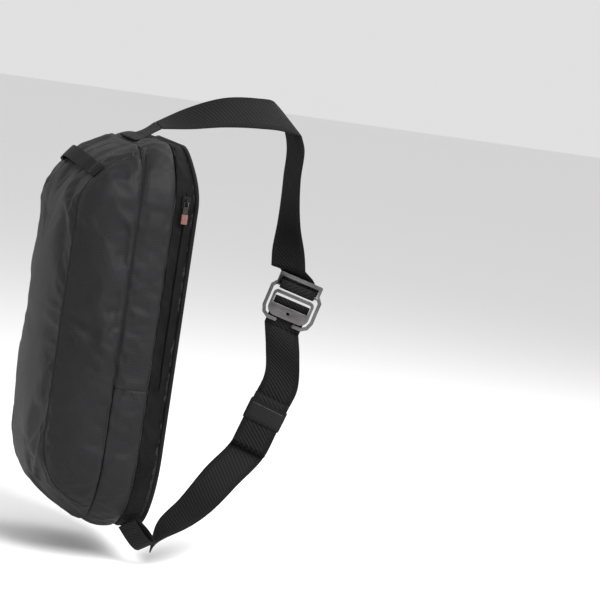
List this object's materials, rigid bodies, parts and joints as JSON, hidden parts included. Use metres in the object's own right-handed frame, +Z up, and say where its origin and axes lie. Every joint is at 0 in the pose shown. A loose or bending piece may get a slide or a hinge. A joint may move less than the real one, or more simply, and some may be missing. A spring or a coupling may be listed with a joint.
{
  "type": "sling bag",
  "caption": "Crossbody sling bag with a folding front flap, rear zip pocket, padded back, webbing strap and a hooked metal buckle.",
  "frame": {"origin": "where the strap lies over what holds it, above and behind the bag", "axes": "+Z up along the bag, -Y towards the front panel, +Y from the back panel towards the wearer, +X towards the rear pocket zip"},
  "size_m": [0.255, 0.2871, 0.4622],
  "materials": {
    "mesh": "spacer mesh, matt black",
    "foam": "closed-cell foam",
    "stiffener": "matt sheet plastic",
    "piping": "fabric over cord",
    "band_fabric": "plain weave, matt",
    "lining": "thin woven lining, slight sheen",
    "sleeve_fabric": "brushed lining over thin foam",
    "binding": "ribbed binding tape",
    "zip_tape": "woven zip tape",
    "zip_coil": "nylon coil",
    "ripstop": "ripstop weave with satin sheen",
    "webbing": "ribbed webbing",
    "elastic": "woven elastic",
    "slider_metal": "black coated metal",
    "pull_tab": "coral moulded tab",
    "buckle_metal": "gunmetal anodised, satin"
  },
  "bodies": {
    "bag": {"back_panel": "mesh", "back_foam": "foam", "back_stiffener": "stiffener", "back_piping": "piping", "rear_band": "band_fabric", "rear_zip_tape": "zip_tape", "rear_zip_coil": "zip_coil", "rear_pocket_divider": "lining", "body_gusset": "ripstop", "body_lining": "lining", "lower_lining": "lining", "main_zip_tape_back": "zip_tape", "main_zip_coil_back": "zip_coil", "tablet_sleeve": "sleeve_fabric", "sleeve_binding": "binding", "lower_side_panel_right": "ripstop", "lower_side_panel_left": "ripstop", "lower_front_panel": "ripstop", "front_fold": "ripstop", "zip_end_right": "ripstop", "zip_end_left": "ripstop", "top_wing": "ripstop", "bottom_tab": "webbing"},
    "front_flap": {"upper_side_panel_right": "ripstop", "upper_side_panel_left": "ripstop", "upper_front_panel": "ripstop", "main_zip_tape_front": "zip_tape", "main_zip_coil_front": "zip_coil", "zip_cover": "ripstop", "flap_lining": "lining", "light_loop": "webbing"},
    "rear_slider": {"rear_zip_slider": "slider_metal"},
    "rear_pull": {"rear_zip_pull": "slider_metal", "rear_zip_pull_tab": "pull_tab"},
    "main_slider": {"main_zip_slider": "slider_metal"},
    "main_pull": {"main_zip_pull": "slider_metal", "main_zip_pull_tab": "pull_tab"},
    "upper_strap": {"upper_webbing": "webbing"},
    "hook": {"upper_strap_end": "webbing", "hook_frame": "buckle_metal"},
    "lower_strap": {"lower_webbing": "webbing", "strap_tail": "webbing"},
    "keeper": {"keeper_band": "elastic"},
    "ring": {"lower_strap_end": "webbing", "buckle_ring": "buckle_metal"}
  },
  "joints": [
    {"name": "flap_open", "type": "hinge", "parent": "bag", "child": "front_flap", "pos_m": [0, -0.133, -0.2796], "axis": [1, 0, 0], "range_deg": [0, 30], "deforming": ["front_fold"]},
    {"name": "main_slider_run", "type": "slide", "parent": "bag", "child": "main_slider", "axis": [0, 0, -1], "range_m": [0, 0.13]},
    {"name": "main_pull_tip", "type": "hinge", "parent": "main_slider", "child": "main_pull", "pos_m": [-0.1249, -0.133, -0.13], "axis": [0, 1, 0], "range_deg": [0, 150]},
    {"name": "rear_slider_run", "type": "slide", "parent": "bag", "child": "rear_slider", "axis": [0, 0, -1], "range_m": [0, 0.17]},
    {"name": "rear_pull_tip", "type": "hinge", "parent": "rear_slider", "child": "rear_pull", "pos_m": [0.1249, -0.089, -0.093], "axis": [0, -1, 0], "range_deg": [0, 150]},
    {"name": "upper_strap_swing", "type": "hinge", "parent": "bag", "child": "upper_strap", "pos_m": [0, -0.102, -0.028], "axis": [0, -1, 0], "range_deg": [0, 45]},
    {"name": "hook_tilt", "type": "hinge", "parent": "upper_strap", "child": "hook", "pos_m": [-0.001, 0.0545, -0.155], "axis": [-0.5533, -0.8326, 0.0263], "range_deg": [0, 60]},
    {"name": "lower_strap_swing", "type": "hinge", "parent": "bag", "child": "lower_strap", "pos_m": [0.088, -0.071, -0.441], "axis": [0, -1, 0], "range_deg": [0, 60]},
    {"name": "ring_tilt", "type": "hinge", "parent": "lower_strap", "child": "ring", "pos_m": [-0.00648, 0.0582, -0.21795], "axis": [-0.252, -0.9349, 0.25], "range_deg": [0, 50]},
    {"name": "keeper_slide", "type": "slide", "parent": "lower_strap", "child": "keeper", "axis": [0, 0.3134, 0.9496], "range_m": [-0.008, 0.008]}
  ],
  "couplings": [
    {"joint": "main_slider_run", "follows": "flap_open", "m_per_rad": 0.248}
  ]
}
